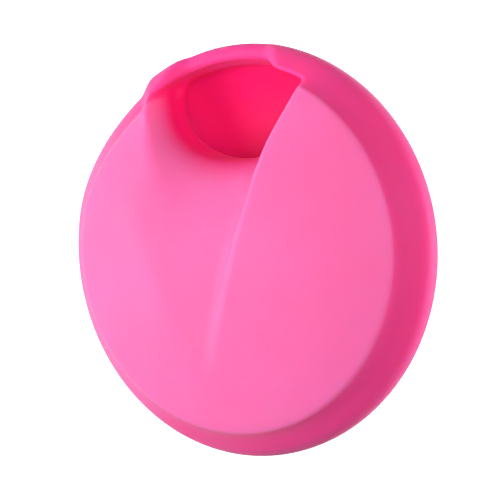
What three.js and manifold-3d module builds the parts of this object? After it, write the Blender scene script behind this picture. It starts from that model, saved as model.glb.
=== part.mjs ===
// A soft silicone cupping cup: a round, hollow, one-mouthed cup that lies on its flat back.
// Its low domed face is pressed in to squeeze the hollow, and a slanting scoop in that face
// curls down into the mouth at the cup's upper edge, with a thick lip behind it.
//
// Millimetres. +Z points out of the domed face, +Y towards the mouth, and +X across the cup.
// The origin is at the middle of the flat back.
import * as THREE from "three";
import { mergeVertices } from "three/addons/utils/BufferGeometryUtils.js";
import Module from "manifold-3d";

// Driving dimensions.
const cupRadius = 36; // at the widest line
const faceRadius = 31.5; // of the edge round the domed face
const restRadius = 21; // of the flat back
const widestHeight = 10; // of the widest line above the flat back
const edgeHeight = 16; // of the face edge
const domeRise = 6; // from the face edge to the top of the dome
const shoulderHandle = 2.4; // how far the shoulder keeps upright at each of its ends
const shoulderLean = 0.6; // its outward lean under the face edge
const wall = 2.8; // of the silicone everywhere
const gap = 0.3; // between neighbouring zones
const scoopGap = 0.5; // beside the scoop, whose curved edges are faceted
const pressTravel = 5; // of the face when it is squeezed in

// The mouth, seen along Z: a half ellipse that opens outwards.
const mouth = { centreX: 1, centreY: 27, halfWidth: 14.5, depth: 11.1, reach: 20 };
const lipDip = 5.5; // how far the lip sags below the face edge, in the middle of the mouth
const lipBand = 4; // height of the thickened lip under the mouth
const lipHalfWidth = 15;
const lipRoot = 5; // how far the lip's zone reaches in from the middle of the mouth

// The scoop, seen along Z: a straight right edge and a bulging left one, from a tip to the mouth.
const scoop = {
  tipX: -6.3,
  tipY: -19,
  topY: 27.5,
  rightX: 15.6,
  leftX: -13.5,
  rightBow: 1,
  leftBulge: 7,
  bulgePower: 0.7, // under 1 makes the left side bulge soonest near its ends
  depth: 4.5,
};
const curlStart = 1.5; // Y where the scoop starts to curl down into the mouth
const curlDrop = 7; // how far the scoop's middle curls down
const curlEnd = THREE.MathUtils.degToRad(78);
const curlTuck = 0.8; // share of the curl's turn that its inner skin follows
const curlFade = 0.7; // share of the curl's drop that is lost towards the scoop's deep right side

const turns = 72; // facets round the cup
const troughFacets = 96;
const backRings = 14;
const shoulderRings = 8;
const faceRings = 9;
const scoopRows = 16;
const straightRows = 9;
const scoopColumns = 10;
const planSteps = 32; // along each side of the scoop's outline
const columnSteps = 12; // enough to settle where a column meets the mouth
const scoopTipTrim = 1.5; // the scoop's tip is left this blunt
const flankShare = 0.92; // of the scoop's width, before its right flank rises

const wasm = await Module();
wasm.setup();

// ---- Outline of the cup, as radius and height --------------------------------------------

const backCurve = new THREE.EllipseCurve(
  restRadius, widestHeight, cupRadius - restRadius, widestHeight, -Math.PI / 2, 0, false,
);
const shoulderCurve = new THREE.CubicBezierCurve(
  new THREE.Vector2(cupRadius, widestHeight),
  new THREE.Vector2(cupRadius, widestHeight + shoulderHandle),
  new THREE.Vector2(faceRadius + shoulderLean, edgeHeight - shoulderHandle),
  new THREE.Vector2(faceRadius, edgeHeight),
);
const domeRadius = (faceRadius ** 2 + domeRise ** 2) / (2 * domeRise);

function domeHeight(radius) {
  return edgeHeight + domeRise - domeRadius + Math.sqrt(domeRadius ** 2 - radius ** 2);
}

function domePoints() {
  return Array.from({ length: faceRings + 1 }, (_, i) => {
    const radius = faceRadius * (1 - i / faceRings);
    return new THREE.Vector2(radius, domeHeight(radius));
  });
}

function cupOutline() {
  return [
    new THREE.Vector2(0, 0),
    ...backCurve.getPoints(backRings),
    ...shoulderCurve.getPoints(shoulderRings).slice(1),
    ...domePoints().slice(1),
  ];
}

// The same outline moved in by the wall, each point along the mean normal of its two sides.
function hollowOutline() {
  const outer = cupOutline();
  const last = outer.length - 1;
  return outer.map((point, i) => {
    if (i === 0) return new THREE.Vector2(0, point.y + wall);
    if (i === last) return new THREE.Vector2(0, point.y - wall);
    const before = point.clone().sub(outer[i - 1]).normalize();
    const after = outer[i + 1].clone().sub(point).normalize();
    const along = before.add(after).normalize();
    return new THREE.Vector2(point.x - along.y * wall, point.y + along.x * wall);
  });
}

// ---- Geometry helpers ---------------------------------------------------------------------

function lathe(points) {
  return new THREE.LatheGeometry(points, turns).rotateX(Math.PI / 2);
}

function solid(geometry) {
  const bare = geometry.clone();
  bare.deleteAttribute("normal");
  bare.deleteAttribute("uv");
  const merged = mergeVertices(bare, 1e-4);
  return new wasm.Manifold(
    new wasm.Mesh({
      numProp: 3,
      vertProperties: merged.attributes.position.array,
      triVerts: new Uint32Array(merged.index.array),
    }),
  );
}

function geometryOf(body) {
  const mesh = body.getMesh();
  const geometry = new THREE.BufferGeometry();
  geometry.setAttribute("position", new THREE.BufferAttribute(mesh.vertProperties, 3));
  geometry.setIndex(new THREE.BufferAttribute(mesh.triVerts, 1));
  return geometry;
}

// A ring of rectangular section, or a disc when the inner radius is 0.
function ring(inner, outer, low, high) {
  const corners = [
    [inner, low],
    [outer, low],
    [outer, high],
    [inner, high],
  ].map(([radius, height]) => new THREE.Vector2(radius, height));
  if (inner > 0) corners.push(corners[0].clone());
  return solid(lathe(corners));
}

// A closed outline in X and Y, made into a prism between two heights.
function prism(shape, low, high) {
  const geometry = new THREE.ExtrudeGeometry(shape, { depth: high - low, bevelEnabled: false });
  return solid(geometry.translate(0, 0, low));
}

function box(low, high) {
  const size = new THREE.Vector3().subVectors(high, low);
  const middle = new THREE.Vector3().addVectors(low, high).multiplyScalar(0.5);
  return solid(new THREE.BoxGeometry(size.x, size.y, size.z).translate(middle.x, middle.y, middle.z));
}

// Closes a grid of outer points and the matching grid of inner points into one solid.
function slab(outer, inner) {
  const rows = outer.length;
  const columns = outer[0].length;
  const positions = [...outer.flat(), ...inner.flat()].flatMap((point) => point.toArray());
  const faces = [];
  const index = (layer, i, j) => layer * rows * columns + i * columns + j;
  const quad = (a, b, c, d) => faces.push(a, b, c, a, c, d);
  for (let i = 0; i + 1 < rows; i++) {
    for (let j = 0; j + 1 < columns; j++) {
      quad(index(0, i, j), index(0, i, j + 1), index(0, i + 1, j + 1), index(0, i + 1, j));
      quad(index(1, i, j), index(1, i + 1, j), index(1, i + 1, j + 1), index(1, i, j + 1));
    }
    const right = columns - 1;
    quad(index(0, i, 0), index(0, i + 1, 0), index(1, i + 1, 0), index(1, i, 0));
    quad(index(0, i, right), index(1, i, right), index(1, i + 1, right), index(0, i + 1, right));
  }
  for (let j = 0; j + 1 < columns; j++) {
    const end = rows - 1;
    quad(index(0, 0, j), index(1, 0, j), index(1, 0, j + 1), index(0, 0, j + 1));
    quad(index(0, end, j), index(0, end, j + 1), index(1, end, j + 1), index(1, end, j));
  }
  const geometry = new THREE.BufferGeometry();
  geometry.setAttribute("position", new THREE.Float32BufferAttribute(positions, 3));
  geometry.setIndex(faces);
  return geometry;
}

// ---- The scoop's plan and surface ----------------------------------------------------------

function scoopShare(y) {
  return (y - scoop.tipY) / (scoop.topY - scoop.tipY);
}

function scoopRight(y) {
  const share = scoopShare(y);
  const bow = 4 * share * (1 - share);
  return THREE.MathUtils.lerp(scoop.tipX, scoop.rightX, share) - scoop.rightBow * bow;
}

function scoopLeft(y) {
  const share = scoopShare(y);
  const bulge = (4 * share * (1 - share)) ** scoop.bulgePower;
  return THREE.MathUtils.lerp(scoop.tipX, scoop.leftX, share) - scoop.leftBulge * bulge;
}

// Y of the mouth's lower edge at a given X.
function mouthEdge(x) {
  const share = Math.min(Math.abs(x - mouth.centreX) / mouth.halfWidth, 1);
  return mouth.centreY - mouth.depth * Math.sqrt(1 - share ** 2);
}

// The scoop's outline from its tip up both sides, closed across the open mouth.
function scoopPlan() {
  const heights = Array.from({ length: planSteps + 1 }, (_, i) => {
    return THREE.MathUtils.lerp(scoop.tipY, mouth.centreY, i / planSteps);
  });
  const right = heights.map((y) => new THREE.Vector2(scoopRight(y), y));
  const left = heights.map((y) => new THREE.Vector2(scoopLeft(y), y)).reverse();
  return new THREE.Shape([...right, ...left]);
}

// One point of the scoop: across runs from 0 at its left edge to 1 at its right one.
function scoopPoint(across, y, drop) {
  const left = scoopLeft(y) + scoopGap;
  const right = scoopRight(y) - scoopGap;
  const leftHeight = domeHeight(Math.hypot(left, y));
  const rightHeight = domeHeight(Math.hypot(right, y));
  const floorRight = rightHeight - scoop.depth * scoopShare(y);
  const floor = THREE.MathUtils.lerp(leftHeight, floorRight, Math.min(across / flankShare, 1));
  const rise = Math.max(0, (across - flankShare) / (1 - flankShare));
  const height = THREE.MathUtils.lerp(floor, rightHeight, rise);
  return new THREE.Vector3(THREE.MathUtils.lerp(left, right, across), y, height - drop);
}

// Y where a column of the scoop meets the mouth, found by stepping along that column.
function columnEnd(across) {
  let y = mouthEdge(mouth.centreX);
  for (let step = 0; step < columnSteps; step++) {
    const x = THREE.MathUtils.lerp(scoopLeft(y), scoopRight(y), across);
    y = (y + mouthEdge(x)) / 2;
  }
  return y - gap;
}

function scoopGeometry() {
  const acrossPlaces = [
    ...Array.from({ length: scoopColumns }, (_, j) => (flankShare * j) / (scoopColumns - 1)),
    1,
  ];
  const ends = acrossPlaces.map(columnEnd);
  const curl = Array.from({ length: scoopRows + 1 }, (_, i) => {
    return (curlEnd * Math.max(0, i - straightRows)) / (scoopRows - straightRows);
  });
  const outer = curl.map((turn, i) => {
    return acrossPlaces.map((across, j) => {
      const along = Math.min(i / straightRows, 1);
      const straight = THREE.MathUtils.lerp(scoop.tipY + scoopTipTrim, curlStart, along);
      const y = straight + (ends[j] - curlStart) * (Math.sin(turn) / Math.sin(curlEnd));
      return scoopPoint(across, y, curlDrop * (1 - curlFade * across) * (1 - Math.cos(turn)));
    });
  });
  // The inner skin lies a wall below the floor, and swings back under it as the floor curls.
  const inner = outer.map((row, i) => {
    const lean = curl[i] * curlTuck;
    return row.map((point, j) => {
      const height = row[Math.min(j, scoopColumns - 1)].z;
      return new THREE.Vector3(point.x, point.y - wall * Math.sin(lean), height - wall * Math.cos(lean));
    });
  });
  return slab(outer, inner);
}

// ---- Cutters and zones ---------------------------------------------------------------------

function mouthPlan() {
  const { centreX, centreY, halfWidth, depth, reach } = mouth;
  const shape = new THREE.Shape();
  shape.moveTo(centreX + halfWidth, centreY + reach);
  shape.lineTo(centreX - halfWidth, centreY + reach);
  shape.lineTo(centreX - halfWidth, centreY);
  shape.absellipse(centreX, centreY, halfWidth, depth, Math.PI, 2 * Math.PI, false);
  return shape;
}

// The trough that the mouth leaves in the shoulder: a wide cylinder lying along Y.
function lipTrough() {
  const radius = (mouth.halfWidth ** 2 + lipDip ** 2) / (2 * lipDip);
  const trough = new THREE.CylinderGeometry(radius, radius, 2 * mouth.reach, troughFacets);
  return solid(trough.translate(mouth.centreX, mouth.centreY, edgeHeight - lipDip + radius));
}

const cup = solid(lathe(cupOutline()));
const hollow = solid(lathe(hollowOutline()));
const shell = cup.subtract(hollow);
const below = -5;
const above = 40;
const beyond = cupRadius + 5;
const halfGap = gap / 2;
const cornerHeight = edgeHeight - wall;
const panelRadius = faceRadius - wall;

const mouthCut = prism(mouthPlan(), 0, above).intersect(lipTrough());

// The block of space that the lip takes from the shell, grown by a clearance on each side.
function lipBlock(clearance) {
  const halfWidth = lipHalfWidth + clearance;
  const low = new THREE.Vector3(
    mouth.centreX - halfWidth,
    mouth.centreY - lipRoot - clearance,
    edgeHeight - lipDip - lipBand - clearance,
  );
  const high = new THREE.Vector3(mouth.centreX + halfWidth, beyond, cornerHeight + clearance);
  return box(low, high);
}

const silicone = {
  back: 0xd93a80,
  rim: 0xe5478f,
  shoulder: 0xf0559b,
  corner: 0xfa6fb0,
  lip: 0xe33f84,
  face: 0xff79b8,
  scoop: 0xff6fae,
};

const satin = 0.62; // roughness of the moulded surface

function zone(name, body, colour) {
  const material = new THREE.MeshStandardMaterial({ color: colour, roughness: satin, metalness: 0 });
  const mesh = new THREE.Mesh(geometryOf(body), material);
  mesh.name = name;
  return mesh;
}

function backWall() {
  const body = shell.intersect(ring(0, restRadius - halfGap, below, widestHeight / 2));
  return zone("back_wall", body, silicone.back);
}

function backRim() {
  const band = ring(restRadius + halfGap, beyond, below, widestHeight - halfGap);
  return zone("back_rim", shell.intersect(band).subtract(lipBlock(gap)), silicone.rim);
}

function sideWall() {
  const band = ring(restRadius, beyond, widestHeight + halfGap, cornerHeight - halfGap);
  const body = shell.intersect(band).subtract(lipBlock(gap)).subtract(mouthCut);
  return zone("side_wall", body, silicone.shoulder);
}

function faceRim() {
  const band = ring(panelRadius + halfGap, beyond, cornerHeight + halfGap, above);
  const body = shell.intersect(band).subtract(mouthCut);
  return zone("face_rim", body, silicone.corner);
}

function mouthLip() {
  const body = shell.intersect(lipBlock(0)).subtract(mouthCut);
  return zone("mouth_lip", body, silicone.lip);
}

function pressFace() {
  const panel = shell.intersect(ring(0, panelRadius - halfGap, edgeHeight - wall, above));
  const scoopHole = prism(scoopPlan(), 0, above);
  const mouthHole = prism(mouthPlan(), 0, above);
  return zone("press_face", panel.subtract(scoopHole).subtract(mouthHole), silicone.face);
}

function scoopFloor() {
  return zone("scoop_floor", solid(scoopGeometry()), silicone.scoop);
}

// The face and the scoop move in together, by up to the press travel; the rest stays put.
const pressed = new THREE.Group();
pressed.userData.travel = pressTravel;
pressed.add(pressFace(), scoopFloor());

const cuppingCup = new THREE.Group();
cuppingCup.add(backWall(), backRim(), sideWall(), faceRim(), mouthLip(), pressed);

export default cuppingCup;
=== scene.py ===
"""The look of a soft silicone cupping cup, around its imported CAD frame.

The cup is one seamless moulding, so its skin is one closed surface. It is described by a distance-like
field in millimetres (the outline turned round +Z, the scoop cut into the face, the curl into the mouth,
the hollow and the lip), meshed by surface nets, and then pulled exactly onto the field.
"""

import math

import bpy
import numpy as np
from mathutils import Matrix, Vector


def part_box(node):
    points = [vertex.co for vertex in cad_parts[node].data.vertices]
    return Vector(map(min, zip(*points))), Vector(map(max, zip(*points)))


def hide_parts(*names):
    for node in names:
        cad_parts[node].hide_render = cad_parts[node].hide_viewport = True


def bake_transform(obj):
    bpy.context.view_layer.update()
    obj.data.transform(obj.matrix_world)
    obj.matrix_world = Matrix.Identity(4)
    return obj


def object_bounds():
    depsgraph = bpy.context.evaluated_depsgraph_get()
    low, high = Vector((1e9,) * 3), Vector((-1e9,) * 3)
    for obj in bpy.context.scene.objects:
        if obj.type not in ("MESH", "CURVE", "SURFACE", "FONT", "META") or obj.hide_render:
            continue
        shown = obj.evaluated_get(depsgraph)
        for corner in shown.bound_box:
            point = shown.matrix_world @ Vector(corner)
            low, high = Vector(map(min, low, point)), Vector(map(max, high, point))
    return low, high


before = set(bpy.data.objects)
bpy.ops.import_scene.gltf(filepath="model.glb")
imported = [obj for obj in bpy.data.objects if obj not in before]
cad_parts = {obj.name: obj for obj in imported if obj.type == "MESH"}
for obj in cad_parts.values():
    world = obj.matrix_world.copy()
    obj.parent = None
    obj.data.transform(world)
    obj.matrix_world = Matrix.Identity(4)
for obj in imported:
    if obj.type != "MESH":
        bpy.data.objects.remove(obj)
cad_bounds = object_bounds()

MM = 0.001
TINY = 1e-3  # the least divisor

# ---- Sizes, in millimetres, from the frame ------------------------------------------------

CUP_LOW, CUP_HIGH = (np.array(corner) / MM for corner in cad_bounds)
CUP_RADIUS = (CUP_HIGH[0] - CUP_LOW[0]) / 2
TOP = CUP_HIGH[2]
REST_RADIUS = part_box("back_wall")[1][0] / MM
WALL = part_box("back_wall")[1][2] / MM
ZONE_GAP = 0.3  # between the CAD's zones, which the seamless skin closes
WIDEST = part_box("back_rim")[1][2] / MM + ZONE_GAP / 2

# ---- Shape, in millimetres ----------------------------------------------------------------

# The outline: a rounded back, an S-shaped shoulder up to the face's edge, and a low dome.
FACE_RADIUS = 31.5
EDGE_HEIGHT = 16.0
EDGE_ROUND = 0.5
SHOULDER_HANDLE = 2.4
SHOULDER_LEAN = 0.6
DOME_RISE = TOP - EDGE_HEIGHT
DOME_RADIUS = (FACE_RADIUS**2 + DOME_RISE**2) / (2 * DOME_RISE)
BACK_POINTS, SHOULDER_POINTS, EDGE_POINTS, DOME_POINTS = 40, 60, 12, 50

# The mouth in plan, and the lip behind it, which lies lower than the face's edge.
MOUTH_X, MOUTH_Y = 1.6, 27.0
MOUTH_HALF_WIDTH, MOUTH_DEPTH = 14.3, 11.1
LIP_DIP = 5.2
LIP_ROUND = 2.6
LIP_LEFT_RUN, LIP_RIGHT_RUN = 5.0, 9.0
LIP_CLEARANCE = 4.0  # how far the dip keeps above the cup where there is no lip
LIP_INNER_RADIUS = 29.0
LIP_EXTRA = 0.9  # how much thicker the lip is than the wall
LIP_INSIDE = CUP_RADIUS - WALL - LIP_EXTRA
LIP_SOFT_RADII = (29.0, 33.0)  # the mouth's edge grows from crisp to as round as the lip between these
MOUTH_CORNER_ROUND = 4.0
MOUTH_ROUND = 0.9

# The scoop: a slanting valley that deepens from its tip up to the mouth. On its right is a crisp crest
# over a leaning flank, and on its left a soft crease that bulges outwards.
SCOOP_TIP = (-4.0, -19.5)
SCOOP_ELBOW = (10.2, 16.5)
SCOOP_TOP_Y = 27.5
SCOOP_LEFT_X, SCOOP_RIGHT_X = -13.5, 16.9
SCOOP_LEFT_BULGE = 6.5
SCOOP_BULGE_POWER = 0.7
SCOOP_DEPTH = 4.5
SCOOP_MOST_SHARE = 1.2  # the valley goes on deepening up to this share, a little past its top
SCOOP_DEPTH_POWER = 0.75
SCOOP_SLANT_POWER = 0.68
SCOOP_LEAST_WIDTH = 4.0
SCOOP_FADE = 1.5
SCOOP_TIP_RISE = 0.12
SCOOP_FLANK_LEAN = math.radians(15)
SCOOP_FOOT_ROUND = 3.0
SCOOP_CREST_ROUND = 0.9
SCOOP_ELBOW_ROUND = 0.8

# The curl: how the scoop's floor rolls down into the mouth, and the funnel under it.
CURL_WIDTH = 14.4
CURL_SIDE_WIDTH = 5.0
CURL_DROP = 7.0
CURL_BOTTOM = 9.0

# The dent beside the lip, with its directions in degrees round from +X.
DENT_DEPTH = 1.3
DENT_START, DENT_DEEPEST, DENT_END = 116.0, 124.0, 165.0

# The table of distances to the outline, and the grid that the skin is meshed on.
TABLE_STEP, TABLE_MARGIN = 0.1, 4.0
GRID_STEP, QUICK_GRID_STEP = 0.5, 1.0
GRID_MARGIN = 0.9  # leaves the flat back between two layers of the grid
RELAX_STEPS, RELAX_REACH = 3, 1 / 2  # the reach is the most that a point moves, as a share of a cell
PROJECT_STEPS, PROJECT_REACH = 4, 1 / 4
SLOPE_REACH = 0.02  # how far to each side the field is read for its gradient
LEAST_SLOPE2 = 0.05  # the least squared gradient that a move counts on


# ---- Small field tools ---------------------------------------------------------------------


def smooth_max(a, b, width):
    """The larger of two fields, with their corner rounded over about that width."""
    blend = np.maximum(width - np.abs(a - b), 0.0) / width
    return np.maximum(a, b) + blend * blend * width / 4


def smooth_min(a, b, width):
    return -smooth_max(-a, -b, width)


def smooth_step(value, start, end):
    """0 up to the start, 1 from the end on, and an S-shaped climb between them."""
    share = np.clip((value - start) / (end - start), 0.0, 1.0)
    return share * share * (3 - 2 * share)


def bezier(points, count):
    """Points along a Bezier curve of any degree, both ends included."""
    t = np.linspace(0, 1, count)[:, None]
    degree = len(points) - 1
    weights = [math.comb(degree, i) * t**i * (1 - t) ** (degree - i) for i in range(degree + 1)]
    return sum(w * np.array(p) for w, p in zip(weights, points))


# ---- The cup's outline, as radius and height -------------------------------------------------


def dome_height(radius):
    return TOP - DOME_RADIUS + np.sqrt(np.maximum(DOME_RADIUS**2 - radius**2, 0.0))


def cup_outline():
    """From the middle of the back round to the top of the dome."""
    turn = np.linspace(-math.pi / 2, 0, BACK_POINTS)
    back_width = CUP_RADIUS - REST_RADIUS
    back = np.stack([REST_RADIUS + back_width * np.cos(turn), WIDEST + WIDEST * np.sin(turn)], 1)
    corner = np.array([FACE_RADIUS, EDGE_HEIGHT])
    shoulder = bezier(
        [
            (CUP_RADIUS, WIDEST),
            (CUP_RADIUS, WIDEST + SHOULDER_HANDLE),
            (FACE_RADIUS + SHOULDER_LEAN, EDGE_HEIGHT - SHOULDER_HANDLE),
            corner,
        ],
        SHOULDER_POINTS,
    )
    shoulder = shoulder[np.linalg.norm(shoulder - corner, axis=1) > EDGE_ROUND]
    inner = FACE_RADIUS - EDGE_ROUND
    dome_start = np.array([inner, dome_height(inner)])
    edge = bezier([shoulder[-1], corner, dome_start], EDGE_POINTS)
    radii = np.linspace(inner, 0, DOME_POINTS)
    dome = np.stack([radii, dome_height(radii)], 1)
    return np.concatenate([[[0.0, 0.0]], back, shoulder[1:], edge[1:], dome[1:]])


def distance_table(outline):
    """Signed distance to the outline, negative inside, on a grid of radius and height."""
    starts = np.concatenate([outline, outline[::-1] * [-1, 1]])
    ends = np.roll(starts, -1, axis=0)
    radii = np.arange(0, CUP_RADIUS + TABLE_MARGIN, TABLE_STEP)
    heights = np.arange(-TABLE_MARGIN, TOP + TABLE_MARGIN, TABLE_STEP)
    spots = np.stack(np.meshgrid(radii, heights, indexing="ij"), -1).reshape(-1, 2)
    nearest = np.full(len(spots), np.inf)
    inside = np.zeros(len(spots), bool)
    for a, b in zip(starts, ends):
        side = b - a
        length2 = side @ side
        if length2 == 0:
            continue
        along = np.clip(((spots - a) @ side) / length2, 0, 1)
        nearest = np.minimum(nearest, np.linalg.norm(spots - a - along[:, None] * side, axis=1))
        crosses = (a[1] > spots[:, 1]) != (b[1] > spots[:, 1])
        if side[1] != 0:
            reach = a[0] + side[0] * (spots[:, 1] - a[1]) / side[1]
            inside ^= crosses & (spots[:, 0] < reach)
    signed = np.where(inside, -nearest, nearest)
    return signed.reshape(len(radii), len(heights))


def look_up(table, radius, height):
    """The table's distance at any radius and height, linear between its spots."""
    last_u, last_v = (count - 1 - TINY for count in table.shape)
    u = np.clip(radius / TABLE_STEP, 0, last_u)
    v = np.clip((height + TABLE_MARGIN) / TABLE_STEP, 0, last_v)
    i, j = u.astype(int), v.astype(int)
    fu, fv = u - i, v - j
    low = table[i, j] * (1 - fu) + table[i + 1, j] * fu
    high = table[i, j + 1] * (1 - fu) + table[i + 1, j + 1] * fu
    return low * (1 - fv) + high * fv


# ---- The scoop, the curl and the mouth --------------------------------------------------------


def scoop_share(y):
    """How far up the scoop: 0 at its tip and 1 at its top."""
    return np.clip((y - SCOOP_TIP[1]) / (SCOOP_TOP_Y - SCOOP_TIP[1]), 0.0, SCOOP_MOST_SHARE)


def scoop_right(y):
    """The crisp crest: straight up from the tip to an elbow, and then straight to the mouth's corner."""
    low_slope = (SCOOP_ELBOW[0] - SCOOP_TIP[0]) / (SCOOP_ELBOW[1] - SCOOP_TIP[1])
    high_slope = (SCOOP_RIGHT_X - SCOOP_ELBOW[0]) / (SCOOP_TOP_Y - SCOOP_ELBOW[1])
    rise = y - SCOOP_ELBOW[1]
    return smooth_max(low_slope * rise, high_slope * rise, SCOOP_ELBOW_ROUND) + SCOOP_ELBOW[0]


def scoop_left(y):
    """The soft crease: a line from the tip to the mouth's other corner, with an outward bulge."""
    share = scoop_share(y)
    bulge = np.maximum(4 * share * (1 - share), 0.0) ** SCOOP_BULGE_POWER
    return SCOOP_TIP[0] + (SCOOP_LEFT_X - SCOOP_TIP[0]) * share - SCOOP_LEFT_BULGE * bulge


def scoop_floor(x, y):
    """Height of the slanting floor: level with the dome along its left edge, deepest at its right."""
    left, right = scoop_left(y), scoop_right(y)
    left_height = dome_height(np.hypot(left, y))
    right_height = dome_height(np.hypot(right, y)) - SCOOP_DEPTH * scoop_share(y) ** SCOOP_DEPTH_POWER
    width = np.maximum(right - left, SCOOP_LEAST_WIDTH)
    beyond = np.maximum(SCOOP_TIP[1] + SCOOP_FADE - y, 0.0)
    across = (x - left) / width
    across = np.where(across > 0, np.abs(across) ** SCOOP_SLANT_POWER, across)
    slant = left_height + (right_height - left_height) * across
    return slant + SCOOP_TIP_RISE * beyond


def mouth_distance(x, y):
    """Distance in plan from the mouth's outline, negative inside it."""
    across = np.abs(x - MOUTH_X)
    down = MOUTH_Y - y
    reach = np.hypot(across / MOUTH_HALF_WIDTH, down / MOUTH_DEPTH)
    slope = np.hypot(across / MOUTH_HALF_WIDTH**2, down / MOUTH_DEPTH**2)
    ellipse = (reach - 1) * reach / np.maximum(slope, TINY)
    return np.where(down > 0, ellipse, across - MOUTH_HALF_WIDTH)


def lip_dip(x, y, z):
    """Positive in the dip that makes the mouth's lip: outside the face and above the lip."""
    left, right = MOUTH_X - MOUTH_HALF_WIDTH, MOUTH_X + MOUTH_HALF_WIDTH
    fall = smooth_step(x, left - LIP_LEFT_RUN, left + LIP_LEFT_RUN)
    climb = smooth_step(x, right - LIP_RIGHT_RUN, right)
    dip = fall * (1 - climb) * (y > 0)
    height = EDGE_HEIGHT + LIP_CLEARANCE * (1 - dip) - LIP_DIP * dip
    return np.minimum(z - height, np.hypot(x, y) - LIP_INNER_RADIUS)


def curled_floor(x, y, z):
    """The scoop's floor, curling down as it nears the mouth: negative in the silicone."""
    angle = np.arctan2(MOUTH_Y - y, np.maximum(MOUTH_X - x, TINY))
    width = CURL_SIDE_WIDTH + (CURL_WIDTH - CURL_SIDE_WIDTH) * np.sin(np.clip(angle, 0, math.pi)) ** 2
    turn = np.maximum(1 - mouth_distance(x, y) / width, 0.0)
    lift = np.maximum((z - scoop_floor(x, y)) / CURL_DROP + 1, 0.0)
    reach = np.hypot(turn, lift)
    slope = np.hypot(turn / width, lift / CURL_DROP) / np.maximum(reach, TINY)
    return (reach - 1) / np.maximum(slope, 1 / CURL_WIDTH)


def shoulder_dent(x, y, z):
    """How far the side sinks in just left of the mouth, where the lip stands proud of it."""
    azimuth = np.degrees(np.arctan2(y, x)) % 360
    start = smooth_step(azimuth, DENT_START, DENT_DEEPEST)
    end = 1 - smooth_step(azimuth, DENT_DEEPEST, DENT_END)
    return DENT_DEPTH * start * end * smooth_step(z, 0, WIDEST)


def scoop_flank(x, y, z):
    """Distance left of the flank under the crest, which leans in as it goes down."""
    lean = (dome_height(np.hypot(x, y)) - z) * math.sin(SCOOP_FLANK_LEAN)
    return (scoop_right(y) - x) * math.cos(SCOOP_FLANK_LEAN) - lean


def outer_field(table, x, y, z):
    """The cup without its hollow."""
    turned = look_up(table, np.hypot(x, y), z) + shoulder_dent(x, y, z)
    cut = smooth_min(curled_floor(x, y, z), scoop_flank(x, y, z), SCOOP_FOOT_ROUND)
    recess = smooth_min(z - CURL_BOTTOM, LIP_INSIDE - np.hypot(x, y), MOUTH_ROUND)
    cut = smooth_min(cut, recess, MOUTH_ROUND)
    lipped = smooth_max(turned, lip_dip(x, y, z), LIP_ROUND)
    return smooth_max(lipped, cut, SCOOP_CREST_ROUND)


def mouth_field(table, x, y, z):
    """The space that the mouth opens, down through the hollow."""
    plan = smooth_max(mouth_distance(x, y), -scoop_flank(x, y, z), MOUTH_ROUND)
    radius = np.hypot(x, y)
    well = smooth_max(look_up(table, radius, z) + WALL, radius - LIP_INSIDE, MOUTH_ROUND)
    return smooth_max(plan, well, MOUTH_CORNER_ROUND)


def cup_field(table, points):
    """The whole cup, negative in the silicone: a wall under the outer surface, opened by the mouth."""
    x, y, z = points.T
    outer = outer_field(table, x, y, z)
    shell = np.maximum(outer, -outer - WALL)
    softness = MOUTH_ROUND + (LIP_ROUND - MOUTH_ROUND) * smooth_step(np.hypot(x, y), *LIP_SOFT_RADII)
    return smooth_max(shell, -mouth_field(table, x, y, z), softness)


# ---- Meshing -----------------------------------------------------------------------------------


def surface_nets(field, low, high, step):
    """A quad mesh round a field's zero level: one point for each crossed cell."""
    axes = [np.arange(a, b + step, step) for a, b in zip(low, high)]
    shape = tuple(len(axis) for axis in axes)
    spots = np.stack(np.meshgrid(*axes, indexing="ij"), -1).reshape(-1, 3)
    values = field(spots).reshape(shape)
    inside = values < 0

    corners = [(i, j, k) for i in (0, 1) for j in (0, 1) for k in (0, 1)]
    cells = tuple(n - 1 for n in shape)
    count = np.zeros(cells, int)
    for corner in corners:
        count += inside[tuple(slice(first, first + n) for first, n in zip(corner, cells))]
    crossed = (count > 0) & (count < len(corners))
    number = np.full(cells, -1)
    number[crossed] = np.arange(crossed.sum())
    place = np.argwhere(crossed)

    at_corner = {c: values[tuple((place + c).T)] for c in corners}
    total = np.zeros((len(place), 3))
    hits = np.zeros(len(place))
    for a in corners:
        for axis in range(3):
            if a[axis]:
                continue
            b = tuple(v + (n == axis) for n, v in enumerate(a))
            va, vb = at_corner[a], at_corner[b]
            hit = (va < 0) != (vb < 0)
            share = np.where(hit, va / np.where(hit, va - vb, 1), 0)
            crossing = np.array(a, float) + share[:, None] * (np.array(b) - np.array(a))
            total += crossing * hit[:, None]
            hits += hit
    points = np.array(low) + (place + total / hits[:, None]) * step

    quads = []
    for axis in range(3):
        one, two = (axis + 1) % 3, (axis + 2) % 3
        ahead = np.take(inside, range(1, shape[axis]), axis)
        here = np.take(inside, range(shape[axis] - 1), axis)
        edges = np.argwhere(ahead != here)
        edges = edges[(edges[:, one] > 0) & (edges[:, two] > 0)]
        edges = edges[(edges[:, one] < cells[one]) & (edges[:, two] < cells[two])]
        ring = []
        for back_one, back_two in ((1, 1), (0, 1), (0, 0), (1, 0)):
            cell = edges.copy()
            cell[:, one] -= back_one
            cell[:, two] -= back_two
            ring.append(number[tuple(cell.T)])
        faces = np.stack(ring, 1)
        leaving = here[tuple(edges.T)]
        faces[~leaving] = faces[~leaving][:, ::-1]
        quads.append(faces)
    return points, np.concatenate(quads)


def gradient(field, points):
    shifts = np.eye(3) * SLOPE_REACH
    return np.stack([(field(points + s) - field(points - s)) / (2 * SLOPE_REACH) for s in shifts], 1)


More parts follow.
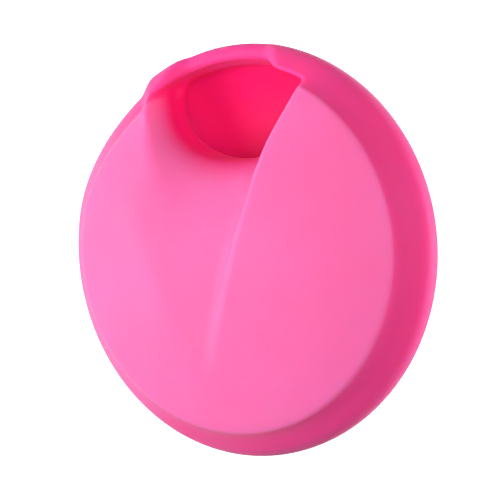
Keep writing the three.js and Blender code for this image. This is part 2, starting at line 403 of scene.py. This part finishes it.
def project(field, points, limit):
    """Moves points along the gradient onto the zero level, by no more than the limit each time."""
    slope = gradient(field, points)
    size2 = np.maximum((slope * slope).sum(1), LEAST_SLOPE2)
    move = -(field(points) / size2)[:, None] * slope
    length = np.linalg.norm(move, axis=1)
    return points + move * np.minimum(1, limit / np.maximum(length, TINY))[:, None]


def relax(points, quads):
    """Evens out the mesh: each point moves half way to the mean of its neighbours."""
    pairs = np.concatenate([quads[:, [i, (i + 1) % 4]] for i in range(4)])
    total = np.zeros_like(points)
    count = np.zeros(len(points))
    for a, b in ((0, 1), (1, 0)):
        for n in range(3):
            total[:, n] += np.bincount(pairs[:, a], points[pairs[:, b], n], len(points))
        count += np.bincount(pairs[:, a], minlength=len(points))
    return (points + total / count[:, None]) / 2


# ---- Painted shade: the wall and the inside of the mouth -----------------------------------------

# Painted shade: the side wall gets a deeper pink, partly for its thicker silicone and partly as painted
# shade, and the inside of the mouth gets a deep red as painted shade, which deepens with its depth under
# the face and stops at the lip. The wall's painted shade is lighter on its left, as painted light on the
# side the light falls on.
INSIDE_SHADE_DEPTHS = (1.2, 6.0)
INSIDE_SHADE_RADII = (32.3, 33.3)
LIT_SIDE_TURN = (0.4, 0.9)
LIT_SIDE_SHARE = 0.75
SHADE_LAYER = "painted_shade_shares"


def painted_shade_shares(points):
    """Two shares of painted shade for each point: how much it is side wall, and how much it is inside the
    mouth.
    """
    x, y, z = points.T
    radius = np.hypot(x, y)
    beyond_face = smooth_step(radius, FACE_RADIUS - EDGE_ROUND, FACE_RADIUS)
    # Painted shade, partly thick silicone: the share of side wall below the face's edge.
    wall = beyond_face * smooth_step(EDGE_HEIGHT - z, 0, EDGE_ROUND)
    face_height = np.minimum(dome_height(radius), scoop_floor(x, y))
    # Painted shade: the inside darkens with its depth under the face and stops at the lip.
    under_floor = smooth_step(face_height - z, *INSIDE_SHADE_DEPTHS)
    inside = under_floor * (1 - smooth_step(radius, *INSIDE_SHADE_RADII))
    # Painted light: the wall's painted shade is lighter on its left, the side the light falls on.
    lit_side = smooth_step(-x / np.maximum(radius, WALL), *LIT_SIDE_TURN)
    return wall * (1 - LIT_SIDE_SHARE * lit_side), inside


def paint_shade_layer(mesh, points):
    wall, inside = painted_shade_shares(points)
    colours = np.stack([wall, inside, np.zeros_like(wall), np.ones_like(wall)], 1)
    depth = mesh.color_attributes.new(SHADE_LAYER, "FLOAT_COLOR", "POINT")
    depth.data.foreach_set("color", colours.ravel())


def cup_mesh(name):
    table = distance_table(cup_outline())

    def field(points):
        return cup_field(table, points)

    step = GRID_STEP
    points, quads = surface_nets(field, CUP_LOW - GRID_MARGIN, CUP_HIGH + GRID_MARGIN, step)
    for _ in range(RELAX_STEPS):
        points = project(field, relax(points, quads), step * RELAX_REACH)
    for _ in range(PROJECT_STEPS):
        points = project(field, points, step * PROJECT_REACH)
    mesh = bpy.data.meshes.new(name)
    mesh.from_pydata((points * MM).tolist(), [], quads.tolist())
    mesh.shade_smooth()
    paint_shade_layer(mesh, points)
    return mesh


# ---- Materials -----------------------------------------------------------------------------------

FACE_PINK = (0.99, 0.155, 0.42)
# Deeper pink of the side wall: partly its thicker silicone, partly painted shade.
WALL_PINK_AND_SHADE = (0.96, 0.054, 0.28)
# Deep red inside the mouth: painted shade in the hollow.
INSIDE_PAINTED_SHADE = (0.88, 0.008, 0.16)

# Red light goes furthest through the silicone. The scale is in metres.
SCATTER_RADIUS = (1.0, 0.15, 0.3)
SCATTER_SCALE = 0.004
SILICONE_SPECULAR = 0.18
SILICONE_IOR = 1.41
SILICONE_ROUGHNESS = (0.5, 0.62)
SHEEN_WEIGHT = 0.05
SHEEN_ROUGHNESS = 0.45
SHEEN_TINT = (1.0, 0.75, 0.88, 1)

# Soft clouds in the pink, lighter and darker by the mottle, and a fine grain with its height in metres.
MOTTLE = 0.05
CLOUD_SCALE, CLOUD_DETAIL = 55, 3
CLOUD_RANGE = (0.3, 0.7)
GRAIN_SCALE, GRAIN_DETAIL = 2600, 2
GRAIN_STRENGTH, GRAIN_HEIGHT = 0.06, 0.0002

FLOOR_GREYS = (0.93, 0.97)
FLOOR_CLOUD_SCALE = 3
FLOOR_ROUGHNESS = 0.9
FLOOR_SPECULAR = 0.1
FLOOR_GLOW = 0.8


def noise(nodes, scale, detail):
    clouds = nodes.new("ShaderNodeTexNoise")
    clouds.inputs["Scale"].default_value = scale
    clouds.inputs["Detail"].default_value = detail
    return clouds


def mottled(nodes, links, clouds, colour):
    """A colour that drifts a little lighter and darker with the clouds."""
    ramp = nodes.new("ShaderNodeValToRGB")
    for element, place, share in zip(ramp.color_ramp.elements, CLOUD_RANGE, (1 - MOTTLE, 1 + MOTTLE)):
        element.position = place
        element.color = (colour[0], colour[1] * share, colour[2] * share, 1)
    links.new(clouds.outputs["Fac"], ramp.inputs["Fac"])
    return ramp.outputs["Color"]


def mixed(nodes, links, share, first, second):
    """The first colour where the share is 0, and the second where it is 1."""
    mix = nodes.new("ShaderNodeMix")
    mix.data_type = "RGBA"
    links.new(share, mix.inputs["Factor"])
    links.new(first, mix.inputs["A"])
    links.new(second, mix.inputs["B"])
    return mix.outputs["Result"]


def silicone_material():
    material = bpy.data.materials.new("pink_silicone")
    material.use_nodes = True
    nodes, links = material.node_tree.nodes, material.node_tree.links
    shader = nodes["Principled BSDF"]
    shader.inputs["Subsurface Weight"].default_value = 1.0
    shader.inputs["Subsurface Radius"].default_value = SCATTER_RADIUS
    shader.inputs["Subsurface Scale"].default_value = SCATTER_SCALE
    shader.inputs["Specular IOR Level"].default_value = SILICONE_SPECULAR
    shader.inputs["IOR"].default_value = SILICONE_IOR
    shader.inputs["Sheen Weight"].default_value = SHEEN_WEIGHT
    shader.inputs["Sheen Roughness"].default_value = SHEEN_ROUGHNESS
    shader.inputs["Sheen Tint"].default_value = SHEEN_TINT

    place = nodes.new("ShaderNodeTexCoord")
    clouds = noise(nodes, CLOUD_SCALE, CLOUD_DETAIL)
    links.new(place.outputs["Object"], clouds.inputs["Vector"])

    # The colour attribute holds the shares of painted shade, on the wall and inside the mouth.
    depth = nodes.new("ShaderNodeVertexColor")
    depth.layer_name = SHADE_LAYER
    shares = nodes.new("ShaderNodeSeparateColor")
    links.new(depth.outputs["Color"], shares.inputs["Color"])
    face = mottled(nodes, links, clouds, FACE_PINK)
    wall = mottled(nodes, links, clouds, WALL_PINK_AND_SHADE)
    inside = mottled(nodes, links, clouds, INSIDE_PAINTED_SHADE)
    outside = mixed(nodes, links, shares.outputs["Red"], face, wall)
    everywhere = mixed(nodes, links, shares.outputs["Green"], outside, inside)
    links.new(everywhere, shader.inputs["Base Color"])

    roughness = nodes.new("ShaderNodeMapRange")
    roughness.inputs["To Min"].default_value, roughness.inputs["To Max"].default_value = SILICONE_ROUGHNESS
    links.new(clouds.outputs["Fac"], roughness.inputs["Value"])
    links.new(roughness.outputs["Result"], shader.inputs["Roughness"])

    grain = noise(nodes, GRAIN_SCALE, GRAIN_DETAIL)
    links.new(place.outputs["Object"], grain.inputs["Vector"])
    bump = nodes.new("ShaderNodeBump")
    bump.inputs["Strength"].default_value = GRAIN_STRENGTH
    bump.inputs["Distance"].default_value = GRAIN_HEIGHT
    links.new(grain.outputs["Fac"], bump.inputs["Height"])
    links.new(bump.outputs["Normal"], shader.inputs["Normal"])
    return material


def floor_material():
    """Near-white that glows a little, so that the cup's shadow on it is faint."""
    material = bpy.data.materials.new("studio_white")
    material.use_nodes = True
    nodes, links = material.node_tree.nodes, material.node_tree.links
    shader = nodes["Principled BSDF"]
    shader.inputs["Roughness"].default_value = FLOOR_ROUGHNESS
    shader.inputs["Specular IOR Level"].default_value = FLOOR_SPECULAR
    shader.inputs["Emission Color"].default_value = (1, 1, 1, 1)
    shader.inputs["Emission Strength"].default_value = FLOOR_GLOW
    mottle = nodes.new("ShaderNodeTexNoise")
    mottle.inputs["Scale"].default_value = FLOOR_CLOUD_SCALE
    tint = nodes.new("ShaderNodeValToRGB")
    for element, grey in zip(tint.color_ramp.elements, FLOOR_GREYS):
        element.color = (grey, grey, grey, 1)
    links.new(mottle.outputs["Fac"], tint.inputs["Fac"])
    links.new(tint.outputs["Color"], shader.inputs["Base Color"])
    return material


# ---- Pieces -----------------------------------------------------------------------------------------

FLOOR_HALF_WIDTH = 3.0  # metres


def add_object(name, data):
    thing = bpy.data.objects.new(name, data)
    bpy.context.scene.collection.objects.link(thing)
    return thing


def cup_skin():
    """The seamless skin, in place of the CAD's parts, which it hides."""
    skin = add_object("cup_skin", cup_mesh("cup_skin"))
    skin.data.materials.append(silicone_material())
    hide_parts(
        "back_wall", "back_rim", "side_wall", "face_rim", "mouth_lip", "press_face", "scoop_floor"
    )
    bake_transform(skin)


def floor():
    far = FLOOR_HALF_WIDTH
    mesh = bpy.data.meshes.new("studio_floor")
    corners = [(-far, -far, 0), (far, -far, 0), (far, far, 0), (-far, far, 0)]
    mesh.from_pydata(corners, [], [(0, 1, 2, 3)])
    plane = add_object("studio_floor", mesh)
    plane.data.materials.append(floor_material())
    plane.visible_shadow = False
    plane.visible_diffuse = False


# ---- Camera and light ----------------------------------------------------------------------------------

# The view is turned to the side from straight above the dome, and rolled a little. The frame's width, at
# the cup's distance, is in metres. BACK points from the cup to the camera.
VIEW_SIDE = math.radians(32)
VIEW_ROLL = math.radians(6)
FOCAL_MM, SENSOR_MM = 200.0, 36.0
FRAME_WIDTH = 0.0869

BACK = Vector((math.sin(VIEW_SIDE), 0, math.cos(VIEW_SIDE)))
LEVEL_RIGHT = Vector((math.cos(VIEW_SIDE), 0, -math.sin(VIEW_SIDE)))
LEVEL_UP = Vector((0, 1, 0))
UP = LEVEL_UP * math.cos(VIEW_ROLL) + LEVEL_RIGHT * math.sin(VIEW_ROLL)
RIGHT = LEVEL_RIGHT * math.cos(VIEW_ROLL) - LEVEL_UP * math.sin(VIEW_ROLL)
CENTRE = Vector((0, 0, WIDEST * MM))

# Each softbox: its direction from the cup as (right, up, back) of the view, its distance and width in
# metres, and its watts.
SOFTBOXES = {
    "left_softbox": ((-1.0, 0.0, 0.15), 0.9, 0.5, 9.5),
    "front_softbox": ((0.15, 0.1, 1.0), 1.0, 0.5, 7.5),
    "right_softbox": ((1.0, 0.0, -0.2), 0.9, 0.4, 7.0),
}
AIR_GLOW = 0.09


def facing(right, up, back, place):
    """The matrix of a thing at a place, with its own axes along these directions."""
    turn = Matrix((right, up, back)).transposed()
    return Matrix.Translation(place) @ turn.to_4x4()


def camera():
    data = bpy.data.cameras.new("photo_camera")
    data.lens = FOCAL_MM
    data.sensor_width = SENSOR_MM
    eye = add_object("photo_camera", data)
    distance = FRAME_WIDTH * FOCAL_MM / SENSOR_MM
    eye.matrix_world = facing(RIGHT, UP, BACK, CENTRE + BACK * distance)
    bpy.context.scene.camera = eye


def softbox(name, direction, distance, width, watts):
    """A square white area light that looks at the cup."""
    data = bpy.data.lights.new(name, "AREA")
    data.shape = "SQUARE"
    data.size = width
    data.energy = watts
    way = (RIGHT * direction[0] + UP * direction[1] + BACK * direction[2]).normalized()
    lamp = add_object(name, data)
    lamp.location = CENTRE + way * distance
    lamp.rotation_mode = "QUATERNION"
    lamp.rotation_quaternion = way.to_track_quat("Z", "Y")


def lights():
    for name, settings in SOFTBOXES.items():
        softbox(name, *settings)
    world = bpy.data.worlds.new("studio_air")
    world.use_nodes = True
    air = world.node_tree.nodes["Background"]
    air.inputs["Color"].default_value = (1, 1, 1, 1)
    air.inputs["Strength"].default_value = AIR_GLOW
    bpy.context.scene.world = world
    bpy.context.scene.view_settings.view_transform = "Standard"


camera()
lights()
floor()
cup_skin()
